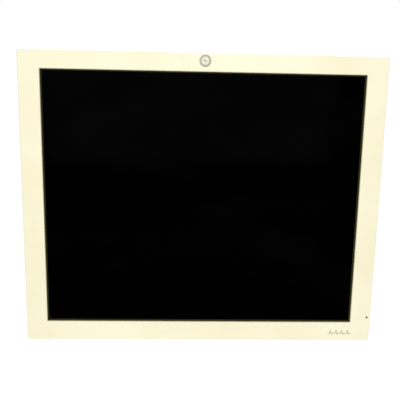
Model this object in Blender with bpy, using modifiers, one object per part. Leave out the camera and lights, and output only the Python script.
"""A wall or arm mounted clinical display head: a flat touch screen in a moulded case.

Frame: +X is the viewer's right, +Y points from the screen to the back, +Z is up. The origin
is the centre of the rear mounting plate's face, straight behind the middle of the screen.
"""

import math

import bmesh
import bpy
from mathutils import Matrix, Vector

# Driving dimensions, in metres.
ACTIVE_WIDTH = 0.376          # lit area of the panel
ACTIVE_HEIGHT = 0.301
OPENING_MARGIN = 0.002        # bezel opening beyond the lit area, on each side
SIDE_BORDER = 0.025           # ivory border beside the opening
TOP_BORDER = 0.0208
BOTTOM_BORDER = 0.0242
BEZEL_DEPTH = 0.025
COVER_DEPTH = 0.043           # from the case joint to the mounting plate's face
WALL = 0.0028                 # moulded case wall
GAP = 0.0003                  # clearance between neighbouring pieces
CORNER_RADIUS = 0.0025
TONGUE = 0.0025               # bezel lip that enters the cover

GASKET_THICKNESS = 0.001
GLASS_THICKNESS = 0.003
TAPE_THICKNESS = 0.0009
FRAME_SHEET = 0.0008
CELL_THICKNESS = 0.002
FILM_THICKNESS = 0.0012
GUIDE_THICKNESS = 0.006
REFLECTOR_THICKNESS = 0.0004
TRAY_FLOOR = 0.0015
DRIVER_SPACE = 0.0037         # between the panel's tray and the chassis
DRIVER_HALF = 0.150           # half length of the panel's driver board
DRIVER_CHIPS = (-0.130, -0.090, 0.010, 0.060, 0.110)
CHASSIS_SHEET = 0.0012
PANEL_BORDER_X = 0.010        # panel frame beyond the lit area
PANEL_BORDER_Z = 0.0115
TRAY_RIM = 0.002
LAMP_CHANNEL = 0.0058         # width of each lamp's reflector
LAMP_RADIUS = 0.0013

SIDE_BAND = 0.009             # straight rear cover wall before the slope starts
SLOPE_INSET = 0.042           # how far the slope comes in to the plateau
PLATE_SIZE = 0.120            # mounting plate
PLATE_THICKNESS = 0.002
PLATE_PROUD = 0.001           # plate's face beyond the plateau
MOUNT_PITCH = 0.100           # four holes on a square
MOUNT_HOLE_RADIUS = 0.00225
STANDOFF_RADIUS = 0.0045
STANDOFF_BORE_RADIUS = 0.0017
STANDOFF_CLEARANCE = 0.001    # round each standoff where it passes a board

BOARD_THICKNESS = 0.0016
PILLAR_HEIGHT = 0.005         # chassis pillars under the boards
PILLAR_RADIUS = 0.003
PILLAR_INSET = 0.006

BAY_HALF_WIDTH = 0.115        # connector bay
BAY_HEIGHT = 0.0847
BAY_PLATE_HALF = 0.110
BAY_WINDOW_HALF = 0.107
SHEET = 0.0012

SCREW_RADIUS = 0.0015
SCREW_HEAD_RADIUS = 0.0028
SCREW_HEAD = 0.0022
BOSS_RADIUS = 0.004
WELL_RADIUS = 0.0046
BOSS_TOP_DROP = 0.0153        # from the case top to the upper screws
BOSS_BOTTOM_RISE = 0.0107

KEY_WIDTH = 0.007
KEY_LENGTH = 0.014
KEY_PROUD = 0.0012
KEY_TRAVEL = 0.0008
KEY_FLANGE = 0.001
KEY_PITCH = 0.021
SWITCH_HEIGHT = 0.0032
SWITCH_HALF = 0.003
SWITCH_FLOOR = 0.0008         # under the bore that takes a key's stem
KEYPAD_BOARD = 0.0012
LIGHT_RADIUS = 0.0011
LIGHT_INSET = 0.0042          # from the case's right side
LIGHT_RISE = 0.0308           # from the case's bottom

BADGE_RADIUS = 0.0066
BADGE_THICKNESS = 0.0011
BADGE_RECESS = 0.0006

VENT_WIDTH = 0.003
VENT_LENGTH = 0.024
VENT_PITCH = 0.009
VENT_START = 0.010            # from the case's top or bottom
UPPER_VENTS = 31
LOWER_VENTS = 7

ROCKER_TILT = math.radians(9.0)
ROCKER_HALF = 0.0082
ROCKER_X = 0.035
INLET_X = 0.075
EARTH_X = 0.101
INLET_FLANGE = (0.0153, 0.0112, 0.0022)      # half width, half depth and thickness
INLET_BODY = (0.0137, 0.0100)
INLET_CAVITY = (0.0122, 0.0083)
INLET_DEPTH = 0.017
INLET_BACK = 0.003
INLET_PIN = (0.001, 0.002)
INLET_PINS = ((-0.007, -0.002), (0.0, 0.002), (0.007, -0.002))
ROCKER_FLANGE = (0.0112, 0.0078, 0.002)
ROCKER_BODY = (0.0100, 0.0066, 0.016)
ROCKER_WELL = (0.0009, 0.0056, 0.0056)       # play at each end, half depth and how deep
ROCKER_PIVOT = 0.0014                        # above the flange's face
ROCKER_FACE = 0.0022                         # paddle below and above its pivot
ROCKER_BACK = 0.0010
ROCKER_AXLE = (0.0060, 0.0006)
PORT_DEPTH = 0.0125
PORT_RISE = 0.012
PORT_MARGIN = (0.007, 0.002)                 # from a port's body to its shell
SHELL_DROP = 0.0055
JACK_DROP = 0.0045
JACK_RADIUS = 0.0023
JACK_INSET = 0.0035
PORTS = (("digital_video_port", "white_plastic", -0.086, 0.040),
         ("analogue_video_port", "blue_plastic", -0.044, 0.032),
         ("serial_port", "black_plastic", -0.008, 0.032))
STUD_RADIUS = 0.002
STUD_DROP = 0.012
NUT = (0.0035, 0.003)
PLATE_LIP = 0.006             # connector plate's flange along the chassis
LABEL = (-0.158, -0.088, -0.030, 0.018)
LABEL_RECESS = 0.0005
LABEL_THICKNESS = 0.0002
KEY_REACH = 0.0015            # flange beyond the cap
STEM_RADIUS = 0.0015

# Case outline and layers, worked out from the sizes above.
OPENING_X = ACTIVE_WIDTH / 2 + OPENING_MARGIN
OPENING_Z = ACTIVE_HEIGHT / 2 + OPENING_MARGIN
CASE_X = OPENING_X + SIDE_BORDER
CASE_TOP = OPENING_Z + TOP_BORDER
CASE_BOTTOM = -OPENING_Z - BOTTOM_BORDER
PLATEAU_Y = -PLATE_PROUD
JOINT_Y = -COVER_DEPTH
FRONT_Y = JOINT_Y - BEZEL_DEPTH
FACE_Y = FRONT_Y + WALL       # back of the bezel's front wall
GASKET_Y = FACE_Y + GAP
GLASS_Y = GASKET_Y + GASKET_THICKNESS + GAP
TAPE_Y = GLASS_Y + GLASS_THICKNESS + GAP
FRAME_Y = TAPE_Y + TAPE_THICKNESS + GAP
CELL_Y = FRAME_Y + FRAME_SHEET + GAP
FILM_Y = CELL_Y + CELL_THICKNESS + GAP
GUIDE_Y = FILM_Y + FILM_THICKNESS + GAP
REFLECTOR_Y = GUIDE_Y + GUIDE_THICKNESS + GAP
TRAY_Y = REFLECTOR_Y + REFLECTOR_THICKNESS + GAP
TRAY_BACK = TRAY_Y + TRAY_FLOOR
CHASSIS_Y = TRAY_BACK + DRIVER_SPACE
CHASSIS_BACK = CHASSIS_Y + CHASSIS_SHEET
BOARD_Y = CHASSIS_BACK + PILLAR_HEIGHT + GAP
BOARD_BACK = BOARD_Y + BOARD_THICKNESS
INNER_X = CASE_X - WALL
INNER_TOP = CASE_TOP - WALL
INNER_BOTTOM = CASE_BOTTOM + WALL
PANEL_X = ACTIVE_WIDTH / 2 + PANEL_BORDER_X
PANEL_Z = ACTIVE_HEIGHT / 2 + PANEL_BORDER_Z
CHASSIS_X = PANEL_X + GAP + CHASSIS_SHEET
CHASSIS_Z = PANEL_Z + GAP + CHASSIS_SHEET
CELL_X = PANEL_X - FRAME_SHEET - 4 * GAP
CELL_Z = PANEL_Z - FRAME_SHEET - 4 * GAP
TRAY_X = PANEL_X - FRAME_SHEET - GAP
TRAY_Z = PANEL_Z - FRAME_SHEET - GAP
GUIDE_X = TRAY_X - TRAY_RIM - GAP
LAMP_OUTER_Z = TRAY_Z - TRAY_RIM - GAP
LAMP_INNER_Z = LAMP_OUTER_Z - LAMP_CHANNEL
GUIDE_Z = LAMP_INNER_Z - GAP
BAY_TOP = CASE_BOTTOM + BAY_HEIGHT
BAY_FLOOR_Y = CHASSIS_BACK + 0.001 + WALL
BAY_MID_Y = (BAY_FLOOR_Y + PLATEAU_Y - WALL) / 2
BAY_PLATE_Z = BAY_TOP + WALL + GAP
BAY_PLATE_TOP = BAY_PLATE_Z + SHEET
INLET_FACE_Z = BAY_PLATE_Z - GAP - INLET_FLANGE[2]
BOSS_X = INNER_X - BOSS_RADIUS + 0.0002
BOSS_TOP = CASE_TOP - BOSS_TOP_DROP
BOSS_BOTTOM = CASE_BOTTOM + BOSS_BOTTOM_RISE
BOSSES = [(side * BOSS_X, z) for z in (BOSS_TOP, BOSS_BOTTOM) for side in (-1, 1)]
LIGHT_X = CASE_X - LIGHT_INSET
LIGHT_Z = CASE_BOTTOM + LIGHT_RISE
KEY_Y = (FACE_Y + JOINT_Y) / 2
KEY_FLANGE_X = INNER_X - GAP - KEY_FLANGE
SWITCH_X = KEY_FLANGE_X - KEY_TRAVEL - GAP
KEYPAD_X = SWITCH_X - SWITCH_HEIGHT
KEYS = ["power_key", "menu_key", "select_key", "up_key", "down_key"]
KEY_Z = [LIGHT_Z + index * KEY_PITCH for index in range(len(KEYS))]
MOUNT_HOLES = [(x * MOUNT_PITCH / 2, z * MOUNT_PITCH / 2) for z in (1, -1) for x in (-1, 1)]
SCREW_SEAT_Y = CHASSIS_BACK + GAP + WALL

COLOURS = {
    "ivory_plastic": ("EDE4C6", 0.42, 0.0),
    "key_plastic": ("D8D1B8", 0.45, 0.0),
    "badge_metal": ("C8C5BB", 0.35, 0.6),
    "smoked_lens": ("2E3328", 0.2, 0.0),
    "screen_glass": ("08090A", 0.08, 0.0),
    "black_foam": ("161616", 0.9, 0.0),
    "cell_glass": ("0C0E12", 0.15, 0.0),
    "white_film": ("ECEFF0", 0.6, 0.0),
    "clear_acrylic": ("E4EEF0", 0.1, 0.0),
    "lamp_glass": ("F4F4EE", 0.2, 0.0),
    "zinc_steel": ("B9BCBE", 0.4, 1.0),
    "bright_screw": ("8E9092", 0.35, 1.0),
    "circuit_board": ("1F5B34", 0.5, 0.0),
    "black_plastic": ("1A1A1C", 0.5, 0.0),
    "sink_aluminium": ("C6C8CA", 0.45, 1.0),
    "coil_tape": ("C9A227", 0.6, 0.0),
    "blue_plastic": ("1E3F8A", 0.5, 0.0),
    "white_plastic": ("E8E8E4", 0.5, 0.0),
    "grey_ribbon": ("B4B4B0", 0.6, 0.0),
    "red_lead": ("A82A26", 0.5, 0.0),
    "label_paper": ("E4E4DE", 0.7, 0.0),
}


def srgb(hex_code):
    """A colour written as six hex digits, as linear red, green, blue and alpha."""
    values = [int(hex_code[i:i + 2], 16) / 255 for i in (0, 2, 4)]
    return [v / 12.92 if v <= 0.04045 else ((v + 0.055) / 1.055) ** 2.4 for v in values] + [1.0]


def make_materials():
    """One Principled material for each named finish."""
    made = {}
    for name, (colour, roughness, metallic) in COLOURS.items():
        material = bpy.data.materials.new(name)
        material.use_nodes = True
        shader = material.node_tree.nodes["Principled BSDF"]
        shader.inputs["Base Color"].default_value = srgb(colour)
        shader.inputs["Roughness"].default_value = roughness
        shader.inputs["Metallic"].default_value = metallic
        made[name] = material
    return made


for leftover in list(bpy.data.objects):
    bpy.data.objects.remove(leftover, do_unlink=True)
PARTS = bpy.data.collections.new("clinical_display")
CUTTERS = bpy.data.collections.new("cutters")
bpy.context.scene.collection.children.link(PARTS)
bpy.context.scene.collection.children.link(CUTTERS)
MATERIALS = make_materials()


def new_piece(name, shape, place=(0, 0, 0), finish=None):
    """Turn a bmesh into an object: a part if it has a finish, otherwise a hidden tool."""
    mesh = bpy.data.meshes.new(name)
    shape.to_mesh(mesh)
    shape.free()
    piece = bpy.data.objects.new(name, mesh)
    piece.location = place
    if finish:
        mesh.materials.append(MATERIALS[finish])
        mesh.shade_smooth()
        mesh.set_sharp_from_angle(angle=math.radians(35))
        PARTS.objects.link(piece)
    else:
        piece.hide_render = True
        piece.display_type = "WIRE"
        CUTTERS.objects.link(piece)
    return piece


def add_block(shape, low, high):
    """Add a box between two corners to a bmesh."""
    size = [b - a for a, b in zip(low, high)]
    middle = [(a + b) / 2 for a, b in zip(low, high)]
    matrix = Matrix.Translation(middle) @ Matrix.Diagonal((*size, 1))
    return bmesh.ops.create_cube(shape, size=1.0, matrix=matrix)["verts"]


def add_rod(shape, start, end, radius, sides=20):
    """Add a cylinder between two points to a bmesh."""
    start, end = Vector(start), Vector(end)
    turn = Vector((0, 0, 1)).rotation_difference(end - start).to_matrix().to_4x4()
    matrix = Matrix.Translation((start + end) / 2) @ turn
    bmesh.ops.create_cone(shape, cap_ends=True, segments=sides, radius1=radius, radius2=radius,
                          depth=(end - start).length, matrix=matrix)


def upright(x, y, half_x, half_y, low, high):
    """A box round an upright centre line, as its two corners."""
    return (x - half_x, y - half_y, low), (x + half_x, y + half_y, high)


def solid(name, finish=None, blocks=(), rods=(), place=(0, 0, 0)):
    """An object of boxes and rods: a tool may hold many, a part starts from one."""
    shape = bmesh.new()
    for low, high in blocks:
        add_block(shape, low, high)
    for rod in rods:
        add_rod(shape, *rod)
    return new_piece(name, shape, place, finish)


def combine(target, tool, operation):
    """Cut a tool from a part, or join it on, with a live Boolean."""
    step = target.modifiers.new(tool.name, "BOOLEAN")
    step.operation = operation
    step.solver = "EXACT"
    step.object = tool
    return target


def cut(target, blocks=(), rods=()):
    """Remove boxes and rods from a part."""
    tool = solid(f"{target.name}_cut_{len(target.modifiers)}", None, blocks, rods)
    return combine(target, tool, "DIFFERENCE")


def join(target, blocks=(), rods=()):
    """Add boxes and rods to a part, one at a time so that they fuse with it."""
    for kind, items in (("blocks", blocks), ("rods", rods)):
        for item in items:
            name = f"{target.name}_add_{len(target.modifiers)}"
            combine(target, solid(name, None, **{kind: [item]}), "UNION")
    return target


def plate(name, finish, half_x, half_z, y, thickness):
    """A flat rectangular layer, centred on the screen, with its front face at y."""
    return solid(name, finish, [((-half_x, y, -half_z), (half_x, y + thickness, half_z))])


def ring(name, finish, outer, inner, y, thickness):
    """A flat rectangular frame, centred on the screen."""
    piece = plate(name, finish, *outer, y, thickness)
    return cut(piece, [((-inner[0], y - GAP, -inner[1]), (inner[0], y + thickness + GAP, inner[1]))])


def tube(name, finish, points, radius):
    """A lead along a smooth curve through its points, as a closed mesh."""
    curve = bpy.data.curves.new(name, "CURVE")
    curve.dimensions = "3D"
    curve.bevel_depth = radius
    curve.bevel_resolution = 2
    curve.use_fill_caps = True
    path = smooth_points([Vector(p) for p in points])
    spline = curve.splines.new("POLY")
    spline.points.add(len(path) - 1)
    for point, place in zip(spline.points, path):
        point.co = (*place, 1)
    drawn = bpy.data.objects.new(name + "_curve", curve)
    CUTTERS.objects.link(drawn)
    bpy.context.view_layer.update()
    mesh = bpy.data.meshes.new_from_object(drawn.evaluated_get(bpy.context.evaluated_depsgraph_get()))
    shape = bmesh.new()
    shape.from_mesh(mesh)
    bmesh.ops.remove_doubles(shape, verts=shape.verts, dist=1e-6)
    bpy.data.objects.remove(drawn, do_unlink=True)
    piece = new_piece(name, shape, finish=finish)
    return piece


def smooth_points(points, steps=4):
    """Points along a Catmull-Rom curve through the given ones."""
    ends = [points[0] * 2 - points[1], *points, points[-1] * 2 - points[-2]]
    path = []
    for a, b, c, d in zip(ends, ends[1:], ends[2:], ends[3:]):
        for step in range(steps):
            t = step / steps
            path.append(0.5 * (2 * b + (c - a) * t + (2 * a - 5 * b + 4 * c - d) * t * t
                               + (3 * b - a - 3 * c + d) * t ** 3))
    return path + [points[-1]]


def weighted_bevel(piece, width, segments, weight_of):
    """Round the edges that weight_of picks, each by its share of the width."""
    shape = bmesh.new()
    shape.from_mesh(piece.data)
    layer = shape.edges.layers.float.new("bevel_weight_edge")
    for edge in shape.edges:
        edge[layer] = weight_of(edge.verts[0].co, edge.verts[1].co)
    shape.to_mesh(piece.data)
    shape.free()
    step = piece.modifiers.new("rounding", "BEVEL")
    step.width = width
    step.segments = segments
    step.limit_method = "WEIGHT"


def same(a, b):
    """Whether two coordinates are the same place."""
    return abs(a - b) < 1e-6


# ---------------------------------------------------------------- front bezel

def bezel():
    """The ivory front moulding, with its lip, screw bosses, key slots and lamp hole."""
    low, high = (-CASE_X, FRONT_Y, CASE_BOTTOM), (CASE_X, JOINT_Y, CASE_TOP)
    piece = solid("front_bezel", "ivory_plastic", [(low, high)])

    def weight(a, b):
        if same(a.y, FRONT_Y) and same(b.y, FRONT_Y):
            return 0.5
        return 0.0 if same(a.y, b.y) else 1.0

    weighted_bevel(piece, CORNER_RADIUS, 3, weight)
    lip = WALL / 2 + GAP / 2
    join(piece, [((-CASE_X + lip, FACE_Y + WALL, CASE_BOTTOM + lip),
                  (CASE_X - lip, JOINT_Y + TONGUE, CASE_TOP - lip))])
    cut(piece, [((-INNER_X, FACE_Y, INNER_BOTTOM), (INNER_X, JOINT_Y + 2 * TONGUE, INNER_TOP))])
    cut(piece, [((-OPENING_X, FRONT_Y - WALL, -OPENING_Z), (OPENING_X, FACE_Y + WALL, OPENING_Z))])
    for x, z in BOSSES:
        join(piece, rods=[((x, FACE_Y - WALL / 2, z), (x, CHASSIS_Y - GAP, z), BOSS_RADIUS)])
        cut(piece, rods=[((x, FACE_Y + WALL, z), (x, CHASSIS_Y + WALL, z), SCREW_RADIUS + GAP, 12)])
    cut(piece, [((INNER_X - WALL, KEY_Y - KEY_WIDTH / 2 - GAP, z - KEY_LENGTH / 2 - GAP),
                 (CASE_X + WALL, KEY_Y + KEY_WIDTH / 2 + GAP, z + KEY_LENGTH / 2 + GAP)) for z in KEY_Z])
    for z in (KEY_Z[0] - KEY_PITCH / 2, KEY_Z[-1] + KEY_PITCH / 2):
        for x in (KEYPAD_X + GAP, KEYPAD_X - KEYPAD_BOARD - GAP - SHEET):
            join(piece, [((x, FACE_Y - GAP, z - SHEET), (x + SHEET, FACE_Y + 0.005, z + SHEET))])
    cut(piece, rods=[((LIGHT_X, FRONT_Y - WALL, LIGHT_Z), (LIGHT_X, FACE_Y + WALL, LIGHT_Z),
                      LIGHT_RADIUS + GAP, 16)])
    badge_z = OPENING_Z + TOP_BORDER * 0.59
    cut(piece, rods=[((0, FRONT_Y - WALL, badge_z), (0, FRONT_Y + BADGE_RECESS, badge_z),
                      BADGE_RADIUS + GAP, 40)])
    solid("round_badge", "badge_metal",
          rods=[((0, FRONT_Y + BADGE_RECESS - GAP, badge_z),
                 (0, FRONT_Y + BADGE_RECESS - GAP - BADGE_THICKNESS, badge_z), BADGE_RADIUS, 40)])


def light_pipe():
    """The power lamp's pipe: a pin in the bezel and an arm to the lamp on the key board."""
    pin_back = FACE_Y + 2 * GAP + 0.002
    piece = solid("power_light_pipe", "smoked_lens",
                  rods=[((LIGHT_X, FRONT_Y + GAP, LIGHT_Z), (LIGHT_X, pin_back, LIGHT_Z), LIGHT_RADIUS, 16)])
    return join(piece, [((KEYPAD_X + GAP, FACE_Y + 2 * GAP, LIGHT_Z - 0.0009),
                         (LIGHT_X, pin_back - GAP, LIGHT_Z + 0.0009))])


# ---------------------------------------------------------------- screen and panel

def screen_stack():
    """Touch glass, its seals and the flat panel's layers, front to back."""
    glass_x, glass_z = CELL_X + 0.001, CELL_Z - 0.001
    seal = (OPENING_X + 0.001, OPENING_Z + 0.001)
    ring("touch_gasket", "black_foam", (glass_x, glass_z), seal, GASKET_Y, GASKET_THICKNESS)
    plate("touch_glass", "screen_glass", glass_x, glass_z, GLASS_Y, GLASS_THICKNESS)
    ring("panel_tape", "black_foam", (CELL_X, CELL_Z), seal, TAPE_Y, TAPE_THICKNESS)
    window = (ACTIVE_WIDTH / 2 + 0.001, ACTIVE_HEIGHT / 2 + 0.001)
    front = plate("panel_front_frame", "zinc_steel", PANEL_X, PANEL_Z, FRAME_Y, TRAY_BACK - FRAME_Y)
    skirt_x, skirt_z = PANEL_X - FRAME_SHEET, PANEL_Z - FRAME_SHEET
    cut(front, [((-skirt_x, FRAME_Y + FRAME_SHEET, -skirt_z), (skirt_x, CHASSIS_Y, skirt_z))])
    cut(front, [((-window[0], FRAME_Y - GAP, -window[1]), (window[0], CELL_Y, window[1]))])
    plate("panel_cell", "cell_glass", CELL_X, CELL_Z, CELL_Y, CELL_THICKNESS)
    plate("diffuser_films", "white_film", CELL_X, CELL_Z, FILM_Y, FILM_THICKNESS)
    plate("light_guide", "clear_acrylic", GUIDE_X, GUIDE_Z, GUIDE_Y, GUIDE_THICKNESS)
    plate("reflector_sheet", "white_film", GUIDE_X, GUIDE_Z, REFLECTOR_Y, REFLECTOR_THICKNESS)
    tray = plate("panel_rear_tray", "zinc_steel", TRAY_X, TRAY_Z, GUIDE_Y - GAP, TRAY_BACK - GUIDE_Y + GAP)
    cut(tray, [((-TRAY_X + TRAY_RIM, GUIDE_Y - WALL, -TRAY_Z + TRAY_RIM),
                (TRAY_X - TRAY_RIM, TRAY_Y, TRAY_Z - TRAY_RIM))])
    driver_low, driver_high = ACTIVE_HEIGHT / 2 - 0.038, ACTIVE_HEIGHT / 2 - 0.004
    driver_y = TRAY_BACK + GAP
    driver_back = driver_y + KEYPAD_BOARD
    driver = solid("panel_driver_board", "circuit_board",
                   [((-DRIVER_HALF, driver_y, driver_low), (DRIVER_HALF, driver_back, driver_high))])
    join(driver, [((x, driver_y + GAP, driver_low + 0.006),
                   (x + 0.018, driver_back + KEYPAD_BOARD, driver_low + 0.014)) for x in DRIVER_CHIPS])


def lamp(name, side):
    """One backlight tube in its rubber end holders, with its folded reflector."""
    near, far = side * LAMP_INNER_Z, side * LAMP_OUTER_Z
    wall = side * 0.0005
    y_low, y_high = GUIDE_Y, GUIDE_Y + GUIDE_THICKNESS
    channel = solid(name + "_reflector", "sink_aluminium",
                    [((-GUIDE_X, y_low, min(near, far)), (GUIDE_X, y_high, max(near, far)))])
    inside = (near - wall * 2, far - wall)
    cut(channel, [((-GUIDE_X - WALL, y_low + 0.0005, min(inside)),
                   (GUIDE_X + WALL, y_high - 0.0005, max(inside)))])
    y, z = (y_low + y_high) / 2, (near + far - wall) / 2
    tube_half = GUIDE_X - 0.001
    piece = solid(name, "lamp_glass", rods=[((-tube_half, y, z), (tube_half, y, z), LAMP_RADIUS, 12)])
    holder = (GUIDE_THICKNESS - 0.001) / 2 - GAP
    for end in (-1, 1):
        join(piece, [((min(end * tube_half, end * (tube_half - 0.006)), y - holder, z - holder),
                      (max(end * tube_half, end * (tube_half - 0.006)), y + holder, z + holder))])


# ---------------------------------------------------------------- chassis and boards

LEAD_X = ACTIVE_WIDTH / 2 - 0.018
LEAD_Z = ACTIVE_HEIGHT / 2 - 0.036
LEAD_RADIUS = 0.0011
MAINS_RADIUS = 0.0018
LEAD_HOLE_RADIUS = 0.003
RIBBON_DROP = 0.026           # from the lit area's top to the ribbon's socket on the driver board
RIBBON_WINDOW = ((-0.052, 0.004), 0.040)     # chassis window for it: left and right, and height
RIBBON_SPAN = (0.066, 0.088)  # its edges from the main board's left
RIBBON_THICKNESS = 0.0005
MAIN_BOARD_SIZE = (0.124, 0.116)
SUPPLY_BOARD_SIZE = (0.088, 0.150)
MAIN_BOARD_LIFT = 0.0037      # above the connector plate
SUPPLY_BOARD_LIFT = 0.0077
# Each board's left, right, low and high edges; the two over the bay rise with it. A component
# is x, z, width, height and rise from its board's lower left corner, a can x, z, radius and rise.
INVERTER_SOCKET = (0.005, 0.0, 0.020, 0.016, 0.007)
INVERTER_SOCKETS = (0.014, 0.106)
SUPPLY_TERMINAL = (0.066, 0.016, 0.006, 0.012)
DISPLAY_SOCKET = (0.062, 0.104, 0.030, 0.008, 0.006)
MAIN_CHIP = (0.030, 0.052, 0.028, 0.028, 0.003)
SINK_HEIGHT = 0.010
SINK_FIN = 0.002
SINK_PITCH = 0.004
MAIN_LEFT = -0.112
MAIN_LOW = BAY_PLATE_TOP + MAIN_BOARD_LIFT
SUPPLY_LEFT = 0.024
SUPPLY_LOW = BAY_PLATE_TOP + SUPPLY_BOARD_LIFT
BOARDS = {
    "main_board": (MAIN_LEFT, MAIN_LEFT + MAIN_BOARD_SIZE[0], MAIN_LOW, MAIN_LOW + MAIN_BOARD_SIZE[1]),
    "power_supply_board": (SUPPLY_LEFT, SUPPLY_LEFT + SUPPLY_BOARD_SIZE[0], SUPPLY_LOW,
                           SUPPLY_LOW + SUPPLY_BOARD_SIZE[1]),
    "inverter_board": (0.134, 0.164, -0.062, 0.074),
    "touch_controller_board": (-0.178, -0.128, -0.060, -0.016),
}
MAIN_CHIPS = [MAIN_CHIP, (0.078, 0.060, 0.020, 0.020, 0.003), DISPLAY_SOCKET,
              (0.010, 0.082, 0.012, 0.020, 0.002), (0.090, 0.086, 0.012, 0.008, 0.005)]
MAIN_CANS = [(0.016, 0.060, 0.004, 0.010), (0.016, 0.050, 0.004, 0.010), (0.110, 0.050, 0.005, 0.012)]
SUPPLY_CHIPS = [(0.010, 0.010, 0.014, 0.012, 0.010), (0.050, 0.134, 0.024, 0.008, 0.008)]
SUPPLY_CANS = [(0.012, 0.140, 0.005, 0.014), (0.030, 0.138, 0.005, 0.014), SUPPLY_TERMINAL]
TOUCH_CHIPS = [(0.014, 0.014, 0.014, 0.014, 0.002), (0.034, 0.008, 0.008, 0.020, 0.006)]


def pillar_places(bounds):
    """The four corner pillars under a board; the lower pair clears the connector plate."""
    left, right, low, high = bounds
    low += PILLAR_INSET / 2
    return [(x, z) for x in (left + PILLAR_INSET, right - PILLAR_INSET)
            for z in (low + PILLAR_INSET, high - PILLAR_INSET)]


def chassis():
    """The folded steel tray that wraps the panel and carries boards, plate and case screws."""
    flange_y = FRAME_Y + FRAME_SHEET
    piece = plate("chassis", "zinc_steel", CHASSIS_X, CHASSIS_Z, flange_y, CHASSIS_BACK - flange_y)
    inner_x, inner_z = CHASSIS_X - CHASSIS_SHEET, CHASSIS_Z - CHASSIS_SHEET
    cut(piece, [((-inner_x, flange_y - WALL, -inner_z), (inner_x, CHASSIS_Y, inner_z))])
    ear_reach = BOSS_X + BOSS_RADIUS - 4 * GAP
    for x, z in BOSSES:
        edge = math.copysign(CHASSIS_X - WALL, x)
        reach = math.copysign(ear_reach, x)
        inward = math.copysign(0.012, z)
        spread = sorted((z - inward, z + math.copysign(BOSS_RADIUS - GAP, z)))
        join(piece, [((min(edge, reach), CHASSIS_Y, spread[0]), (max(edge, reach), CHASSIS_BACK, spread[1]))])
        cut(piece, rods=[((x, CHASSIS_Y - WALL, z), (x, CHASSIS_BACK + WALL, z), SCREW_RADIUS + GAP, 12)])
    for bounds in BOARDS.values():
        join(piece, rods=[((x, CHASSIS_BACK - GAP, z), (x, CHASSIS_BACK + PILLAR_HEIGHT, z), PILLAR_RADIUS, 8)
                          for x, z in pillar_places(bounds)])
    (window_left, window_right), window_height = RIBBON_WINDOW
    ribbon_z = ACTIVE_HEIGHT / 2 - RIBBON_DROP
    cut(piece, [((window_left, CHASSIS_Y - WALL, ribbon_z - window_height / 2),
                 (window_right, CHASSIS_BACK + WALL, ribbon_z + window_height / 2))])
    cut(piece, rods=[((LEAD_X, CHASSIS_Y - WALL, z), (LEAD_X, CHASSIS_BACK + WALL, z), LEAD_HOLE_RADIUS, 12)
                     for z in (LEAD_Z, -LEAD_Z)])


def board(name, chips=(), cans=()):
    """A circuit board with its raised components; it clears the standoffs and the inlets."""
    left, right, low, high = BOARDS[name]
    piece = solid(name, "circuit_board", [((left, BOARD_Y, low), (right, BOARD_BACK, high))])
    reach = STANDOFF_RADIUS + STANDOFF_CLEARANCE
    holes = [(x, z) for x, z in MOUNT_HOLES
             if left - reach < x < right + reach and low - reach < z < high + reach]
    sunk = BOARD_BACK - GAP
    join(piece, [((left + x, sunk, low + z), (left + x + w, BOARD_BACK + tall, low + z + h))
                 for x, z, w, h, tall in chips])
    top = max([BOARD_BACK, *[BOARD_BACK + chip[-1] for chip in chips]]) + GAP
    if holes:
        cut(piece, rods=[((x, BOARD_Y - GAP, z), (x, top, z), reach, 16) for x, z in holes])
    cut(piece, [upright(INLET_X, BAY_MID_Y, INLET_BODY[0] + GAP, INLET_BODY[1] + GAP,
                        BAY_PLATE_TOP - WALL, INLET_FACE_Z + INLET_DEPTH + INLET_BACK + GAP)])
    join(piece, rods=[((left + x, sunk, low + z), (left + x, BOARD_BACK + tall, low + z), radius, 12)
                      for x, z, radius, tall in cans])
    return piece


def boards():
    """The boards, with the tall components that stand on them as pieces of their own."""
    board("main_board", MAIN_CHIPS, MAIN_CANS)
    board("power_supply_board", SUPPLY_CHIPS, SUPPLY_CANS)
    board("inverter_board", [(INVERTER_SOCKET[0], z, *INVERTER_SOCKET[2:]) for z in INVERTER_SOCKETS]
          + [(0.010, 0.060, 0.012, 0.010, 0.002)])
    board("touch_controller_board", TOUCH_CHIPS)

    left, _, low, _ = BOARDS["main_board"]
    chip_x, chip_z, width, height, rise = MAIN_CHIP
    x, sink_y, z = left + chip_x, BOARD_BACK + rise + GAP, low + chip_z
    sink = solid("main_heat_sink", "sink_aluminium",
                 [((x, sink_y, z), (x + width, sink_y + SINK_HEIGHT, z + height))])
    slots = [x + SINK_FIN + 0.0005 + SINK_PITCH * i for i in range(6)]
    cut(sink, [((slot, sink_y + SINK_FIN, z - WALL),
                (slot + SINK_FIN, sink_y + SINK_HEIGHT + WALL, z + height + WALL)) for slot in slots])

    left, _, low, _ = BOARDS["power_supply_board"]
    base_y = BOARD_BACK + GAP
    core = solid("supply_transformer", "coil_tape",
                 [((left + 0.034, base_y, low + 0.066), (left + 0.068, base_y + 0.020, low + 0.096))])
    join(core, [((left + 0.038, base_y + 0.003, low + 0.060), (left + 0.064, base_y + 0.017, low + 0.102))])
    middle = base_y + 0.010
    solid("supply_capacitor", "black_plastic",
          rods=[((left + 0.014, middle, low + 0.044), (left + 0.014, middle, low + 0.076), 0.010, 20)])
    fins = solid("supply_heat_sink", "sink_aluminium",
                 [((left + 0.074, base_y, low + 0.050), (left + 0.083, base_y + 0.018, low + 0.110))])
    cut(fins, [((left + 0.076, base_y + 0.002 + 0.004 * i, low + 0.044),
                (left + 0.087, base_y + 0.004 + 0.004 * i, low + 0.116)) for i in range(4)])


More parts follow.
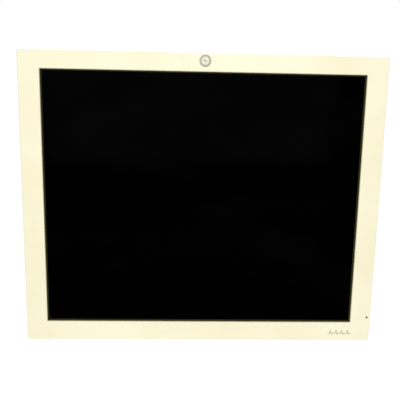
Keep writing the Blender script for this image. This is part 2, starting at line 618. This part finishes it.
def key_board():
    """The upright key board, with a bored switch body behind each key."""
    low, high = KEY_Z[0] - KEY_PITCH * 0.6, KEY_Z[-1] + KEY_PITCH * 0.6
    piece = solid("keypad_board", "circuit_board",
                  [((KEYPAD_X - KEYPAD_BOARD, FACE_Y + 2 * GAP, low), (KEYPAD_X, KEY_Y + 0.007, high))])
    for z in KEY_Z:
        join(piece, [((KEYPAD_X - GAP, KEY_Y - SWITCH_HALF, z - SWITCH_HALF),
                      (SWITCH_X, KEY_Y + SWITCH_HALF, z + SWITCH_HALF))])
        cut(piece, rods=[((KEYPAD_X + SWITCH_FLOOR, KEY_Y, z), (SWITCH_X + WALL, KEY_Y, z),
                          STEM_RADIUS + GAP, 12)])


def key(name, z):
    """A side key: the cap in its slot, a flange that keeps it in, and a stem in its switch."""
    middle = (CASE_X + KEY_PROUD + KEY_FLANGE_X) / 2
    place = (middle, KEY_Y, z)
    half = (CASE_X + KEY_PROUD - KEY_FLANGE_X) / 2
    piece = solid(name, "key_plastic",
                  [((-half, -KEY_WIDTH / 2, -KEY_LENGTH / 2), (half, KEY_WIDTH / 2, KEY_LENGTH / 2))],
                  place=place)

    def weight(a, b):
        return 1.0 if same(a.x, half) and same(b.x, half) else 0.0

    weighted_bevel(piece, 0.0005, 2, weight)
    reach_y, reach_z = KEY_WIDTH / 2 + KEY_REACH, KEY_LENGTH / 2 + KEY_REACH
    join(piece, [((KEY_FLANGE_X, KEY_Y - reach_y, z - reach_z),
                  (KEY_FLANGE_X + KEY_FLANGE, KEY_Y + reach_y, z + reach_z))])
    tip = KEYPAD_X + SWITCH_FLOOR + KEY_TRAVEL + GAP
    join(piece, rods=[((KEY_FLANGE_X + KEY_FLANGE / 2, KEY_Y, z), (tip, KEY_Y, z), STEM_RADIUS, 12)])


# ---------------------------------------------------------------- rear cover

def cover_shape(name, wall, front_y, finish=None):
    """The cover's outline: a straight band, then slopes in to a flat plateau."""
    depth = PLATEAU_Y - JOINT_Y - SIDE_BAND
    length = math.hypot(SLOPE_INSET, depth)
    band_y = JOINT_Y + SIDE_BAND - wall * (length - depth) / SLOPE_INSET
    inset = SLOPE_INSET + wall * (length - SLOPE_INSET) / depth
    top_y = PLATEAU_Y - wall
    shape = bmesh.new()
    add_block(shape, (-CASE_X + wall, front_y, CASE_BOTTOM + wall), (CASE_X - wall, band_y, CASE_TOP - wall))
    back = [face for face in shape.faces if face.normal.y > 0.9]
    grown = bmesh.ops.extrude_face_region(shape, geom=back)["geom"]
    bmesh.ops.delete(shape, geom=back, context="FACES")
    for vert in [item for item in grown if isinstance(item, bmesh.types.BMVert)]:
        end_z = CASE_TOP if vert.co.z > 0 else CASE_BOTTOM
        vert.co = (math.copysign(CASE_X - inset, vert.co.x), top_y, end_z - math.copysign(inset, end_z))
    bmesh.ops.recalc_face_normals(shape, faces=shape.faces)
    return new_piece(name, shape, finish=finish)


def rear_cover():
    """The sloped ivory rear moulding: wells, vents, connector bay, plate and label recesses."""
    start = JOINT_Y + GAP
    piece = cover_shape("rear_cover", 0.0, start, "ivory_plastic")

    def weight(a, b):
        return 0.0 if same(a.y, start) and same(b.y, start) else 1.0

    weighted_bevel(piece, CORNER_RADIUS, 3, weight)
    void = cover_shape("cover_void", WALL, JOINT_Y - WALL)
    bay_low = (-BAY_HALF_WIDTH - WALL, BAY_FLOOR_Y - WALL, CASE_BOTTOM - WALL)
    cut(void, [(bay_low, (BAY_HALF_WIDTH + WALL, PLATEAU_Y + WALL, BAY_TOP + WALL))])
    cut(void, rods=[((x, CHASSIS_BACK + GAP, z), (x, PLATEAU_Y, z), WELL_RADIUS, 20) for x, z in BOSSES])
    combine(piece, void, "DIFFERENCE")
    lip = WALL / 2 - GAP / 2
    cut(piece, [((-CASE_X + lip, JOINT_Y - WALL, CASE_BOTTOM + lip),
                 (CASE_X - lip, JOINT_Y + TONGUE + GAP, CASE_TOP - lip))])
    cut(piece, [((-BAY_HALF_WIDTH, BAY_FLOOR_Y, CASE_BOTTOM - WALL),
                 (BAY_HALF_WIDTH, PLATEAU_Y + WALL, BAY_TOP))])
    cut(piece, [((-BAY_WINDOW_HALF, BAY_FLOOR_Y + 0.001, BAY_TOP - WALL),
                 (BAY_WINDOW_HALF, PLATEAU_Y - 2 * WALL, BAY_TOP + 2 * WALL))])
    flanges = ((INLET_X, INLET_FLANGE), (ROCKER_X, ROCKER_FLANGE))
    cut(piece, [upright(x, BAY_MID_Y, half_x + GAP, half_y + GAP, BAY_TOP - WALL, BAY_TOP + 2 * WALL)
                for x, (half_x, half_y, _) in flanges])
    cut(piece, rods=[((x, SCREW_SEAT_Y, z), (x, PLATEAU_Y + WALL, z), SCREW_HEAD_RADIUS + GAP, 16)
                     for x, z in BOSSES])
    cut(piece, rods=[((x, CHASSIS_Y, z), (x, PLATEAU_Y, z), SCREW_RADIUS + GAP, 12) for x, z in BOSSES])
    half = PLATE_SIZE / 2 + GAP
    cut(piece, [((-half, PLATEAU_Y - 2 * WALL, -half), (half, PLATEAU_Y + WALL, half))])
    vents = [(i - (UPPER_VENTS - 1) / 2) * VENT_PITCH for i in range(UPPER_VENTS)]
    reach = JOINT_Y + SIDE_BAND - 0.004
    cut(piece, [((x - VENT_WIDTH / 2, reach, CASE_TOP - VENT_START - VENT_LENGTH),
                 (x + VENT_WIDTH / 2, PLATEAU_Y, CASE_TOP - VENT_START)) for x in vents])
    first = BAY_HALF_WIDTH + WALL + VENT_PITCH
    lower = [side * (first + i * VENT_PITCH) for i in range(LOWER_VENTS) for side in (-1, 1)]
    cut(piece, [((x - VENT_WIDTH / 2, reach, CASE_BOTTOM + VENT_START),
                 (x + VENT_WIDTH / 2, PLATEAU_Y, CASE_BOTTOM + VENT_START + VENT_LENGTH)) for x in lower])
    left, right, low, high = LABEL
    cut(piece, [((left - GAP, PLATEAU_Y - LABEL_RECESS, low - GAP),
                 (right + GAP, PLATEAU_Y + WALL, high + GAP))])
    solid("rating_label", "label_paper",
          [((left, PLATEAU_Y - LABEL_THICKNESS, low), (right, PLATEAU_Y, high))])


def case_screws():
    """The four long screws that clamp cover, chassis and bezel together."""
    for index, (x, z) in enumerate(BOSSES, 1):
        seat = SCREW_SEAT_Y + GAP
        piece = solid(f"case_screw_{index}", "bright_screw",
                      rods=[((x, seat, z), (x, seat + SCREW_HEAD, z), SCREW_HEAD_RADIUS, 16)])
        join(piece, rods=[((x, seat + GAP, z), (x, CHASSIS_Y - 0.010, z), SCREW_RADIUS, 12)])


def mount():
    """The steel mounting plate and the four threaded standoffs that carry it."""
    half = PLATE_SIZE / 2
    piece = solid("mounting_plate", "zinc_steel", [((-half, -PLATE_THICKNESS, -half), (half, 0, half))])
    cut(piece, rods=[((x, -2 * PLATE_THICKNESS, z), (x, PLATE_THICKNESS, z), MOUNT_HOLE_RADIUS, 20)
                     for x, z in MOUNT_HOLES])
    for index, (x, z) in enumerate(MOUNT_HOLES, 1):
        top = -PLATE_THICKNESS - GAP
        post = solid(f"mounting_standoff_{index}", "bright_screw",
                     rods=[((x, CHASSIS_BACK + GAP, z), (x, top, z), STANDOFF_RADIUS, 6)])
        cut(post, rods=[((x, top - 0.016, z), (x, top + WALL, z), STANDOFF_BORE_RADIUS, 12)])


# ---------------------------------------------------------------- connector bay

def port(plate_piece, name, finish, x, width):
    """A screen port: its body over the connector plate, and its shell and jackscrews through it."""
    y = BOARD_BACK + GAP + PORT_DEPTH / 2
    half_x, half_y = width / 2, PORT_DEPTH / 2
    shell_x, shell_y = half_x - PORT_MARGIN[0], half_y - PORT_MARGIN[1]
    screws = [x - half_x + JACK_INSET, x + half_x - JACK_INSET]
    seat, sunk = BAY_PLATE_TOP + GAP, BAY_PLATE_TOP + 0.001
    piece = solid(name, finish, [upright(x, y, half_x, half_y, seat, seat + PORT_RISE)])
    join(piece, [upright(x, y, shell_x, shell_y, BAY_PLATE_Z - SHELL_DROP, sunk)],
         [((at, y, BAY_PLATE_Z - JACK_DROP), (at, y, sunk), JACK_RADIUS, 6) for at in screws])
    hole_in(plate_piece, x, y, shell_x, shell_y)
    cut(plate_piece, rods=[((at, y, BAY_PLATE_Z - GAP), (at, y, seat), JACK_RADIUS + GAP, 12)
                           for at in screws])


def connector_bay():
    """The connector plate with its ports, mains inlet, rocker switch and earth stud."""
    back = PLATEAU_Y - WALL - 0.001
    front = CHASSIS_BACK + GAP
    piece = solid("connector_plate", "zinc_steel",
                  [((-BAY_PLATE_HALF, front, BAY_PLATE_Z), (BAY_PLATE_HALF, back, BAY_PLATE_TOP))])
    join(piece, [((-BAY_PLATE_HALF, front, BAY_PLATE_Z + GAP),
                  (BAY_PLATE_HALF, front + SHEET, BAY_PLATE_TOP + PLATE_LIP))])
    for name, finish, x, width in PORTS:
        port(piece, name, finish, x, width)
    mains_inlet(piece)
    rocker_switch(piece)
    x, y = EARTH_X, BAY_MID_Y
    stud = solid("earth_stud", "bright_screw",
                 rods=[((x, y, BAY_PLATE_Z - STUD_DROP), (x, y, BAY_PLATE_TOP + PLATE_LIP), STUD_RADIUS, 12)])
    nut_radius, nut_height = NUT
    for low in (BAY_PLATE_Z - GAP - nut_height, BAY_PLATE_TOP + GAP):
        join(stud, rods=[((x, y, low), (x, y, low + nut_height), nut_radius, 6)])
    cut(piece, rods=[((x, y, BAY_PLATE_Z - GAP), (x, y, BAY_PLATE_TOP + GAP), STUD_RADIUS + GAP, 12)])


def hole_in(piece, x, y, half_x, half_y):
    """Cut a rectangular window in the connector plate."""
    cut(piece, [((x - half_x - GAP, y - half_y - GAP, BAY_PLATE_Z - GAP),
                 (x + half_x + GAP, y + half_y + GAP, BAY_PLATE_TOP + GAP))])


def mains_inlet(plate_piece):
    """A snap-in mains inlet: flange under the plate, body above it, three pins inside."""
    x, y, face = INLET_X, BAY_MID_Y, INLET_FACE_Z
    flange_x, flange_y, thick = INLET_FLANGE
    piece = solid("mains_inlet", "black_plastic", [upright(x, y, flange_x, flange_y, face, face + thick)])
    join(piece, [upright(x, y, *INLET_BODY, face + 0.001, face + INLET_DEPTH + INLET_BACK)])
    cut(piece, [upright(x, y, *INLET_CAVITY, face - WALL, face + INLET_DEPTH)])
    join(piece, [upright(x + dx, y + dy, *INLET_PIN, face + 0.002, face + INLET_DEPTH + 0.001)
                 for dx, dy in INLET_PINS])
    hole_in(plate_piece, x, y, *INLET_BODY)


def rocker_switch(plate_piece):
    """The mains rocker: an open frame through the plate, and the paddle on its axle."""
    x, y = ROCKER_X, BAY_MID_Y
    flange_x, flange_y, thick = ROCKER_FLANGE
    body_x, body_y, body_top = ROCKER_BODY
    play, well_y, well_depth = ROCKER_WELL
    axle, axle_radius = ROCKER_AXLE
    face = BAY_PLATE_Z - GAP - thick
    pivot_z = face + ROCKER_PIVOT
    frame = solid("rocker_frame", "black_plastic", [upright(x, y, flange_x, flange_y, face, face + thick)])
    join(frame, [upright(x, y, body_x, body_y, face + 0.001, face + body_top)])
    cut(frame, [upright(x, y, ROCKER_HALF + play, well_y, face - WALL, face + well_depth)])
    cut(frame, rods=[((x, y - axle - GAP, pivot_z), (x, y + axle + GAP, pivot_z), axle_radius + GAP, 12)])
    hole_in(plate_piece, x, y, body_x, body_y)
    paddle_y = well_y - GAP
    paddle = solid("power_rocker", "black_plastic",
                   [((-ROCKER_HALF, -paddle_y, -ROCKER_FACE), (ROCKER_HALF, paddle_y, ROCKER_BACK))],
                   place=(x, y, pivot_z))
    paddle.rotation_euler = (0, -ROCKER_TILT, 0)
    pin = solid("power_rocker_axle", None,
                rods=[((x, y - axle, pivot_z), (x, y + axle, pivot_z), axle_radius, 12)])
    combine(paddle, pin, "UNION")


# ---------------------------------------------------------------- leads held inside

def leads():
    """The ribbon and leads that run between the boards inside the case."""
    left, _, low, high = BOARDS["main_board"]
    ribbon_z = ACTIVE_HEIGHT / 2 - RIBBON_DROP
    driver_back = TRAY_BACK + GAP + KEYPAD_BOARD
    socket_z = low + DISPLAY_SOCKET[1] + DISPLAY_SOCKET[3] + GAP
    rise = BOARD_BACK + DISPLAY_SOCKET[4] / 2
    side = [(driver_back + GAP, ribbon_z + 0.006), (driver_back + GAP, ribbon_z),
            (CHASSIS_Y + SHEET / 2, ribbon_z - 0.006), (CHASSIS_BACK + 0.004, ribbon_z - 0.012),
            (rise, ribbon_z - 0.030), (rise, socket_z + 0.012), (rise, socket_z)]
    path = smooth_points([Vector((y, z, 0)) for y, z in side], 3)
    shape = bmesh.new()
    rails = []
    for x in [left + edge for edge in RIBBON_SPAN]:
        rails.append([shape.verts.new((x, p.x, p.y)) for p in path])
    for i in range(len(path) - 1):
        shape.faces.new((rails[0][i], rails[1][i], rails[1][i + 1], rails[0][i + 1]))
    ribbon = new_piece("panel_ribbon", shape, finish="grey_ribbon")
    thick = ribbon.modifiers.new("thickness", "SOLIDIFY")
    thick.thickness = RIBBON_THICKNESS
    thick.offset = 1.0

    left, right, low, _ = BOARDS["inverter_board"]
    socket_x = left + INVERTER_SOCKET[0] + INVERTER_SOCKET[2] / 2
    lead_y = BOARD_BACK + INVERTER_SOCKET[4] / 2
    ends = {"upper_lamp_lead": (1, low + INVERTER_SOCKETS[1] + INVERTER_SOCKET[3]),
            "lower_lamp_lead": (-1, low + INVERTER_SOCKETS[0])}
    for name, (sign, socket_z) in ends.items():
        z = sign * LEAD_Z
        end_z = socket_z + sign * GAP
        route = [(LEAD_X, TRAY_BACK + GAP, z), (LEAD_X, CHASSIS_BACK, z),
                 (LEAD_X, lead_y - 0.001, z - sign * 0.003),
                 (right - 0.002, lead_y + 0.001, z - sign * 0.016),
                 (socket_x, lead_y, end_z + sign * 0.012), (socket_x, lead_y, end_z + sign * 0.005),
                 (socket_x, lead_y, end_z)]
        tube(name, "red_lead", route, LEAD_RADIUS)

    left, _, low, _ = BOARDS["power_supply_board"]
    terminal_x, terminal_z, _, terminal_top = SUPPLY_TERMINAL
    x, y, z = left + terminal_x, BOARD_BACK + terminal_top + GAP, low + terminal_z
    inlet_top = INLET_FACE_Z + INLET_DEPTH + INLET_BACK + GAP
    route = [(INLET_X, BAY_MID_Y, inlet_top), (INLET_X, BAY_MID_Y, inlet_top + 0.005),
             (INLET_X + 0.004, BAY_MID_Y + 0.004, inlet_top + 0.011),
             (x - 0.002, y + 0.007, z + 0.005), (x, y + 0.003, z), (x, y, z)]
    tube("mains_lead", "black_foam", route, MAINS_RADIUS)


bezel()
light_pipe()
screen_stack()
lamp("upper_lamp", 1)
lamp("lower_lamp", -1)
chassis()
boards()
key_board()
for key_name, key_z in zip(KEYS, KEY_Z):
    key(key_name, key_z)
rear_cover()
case_screws()
mount()
connector_bay()
leads()
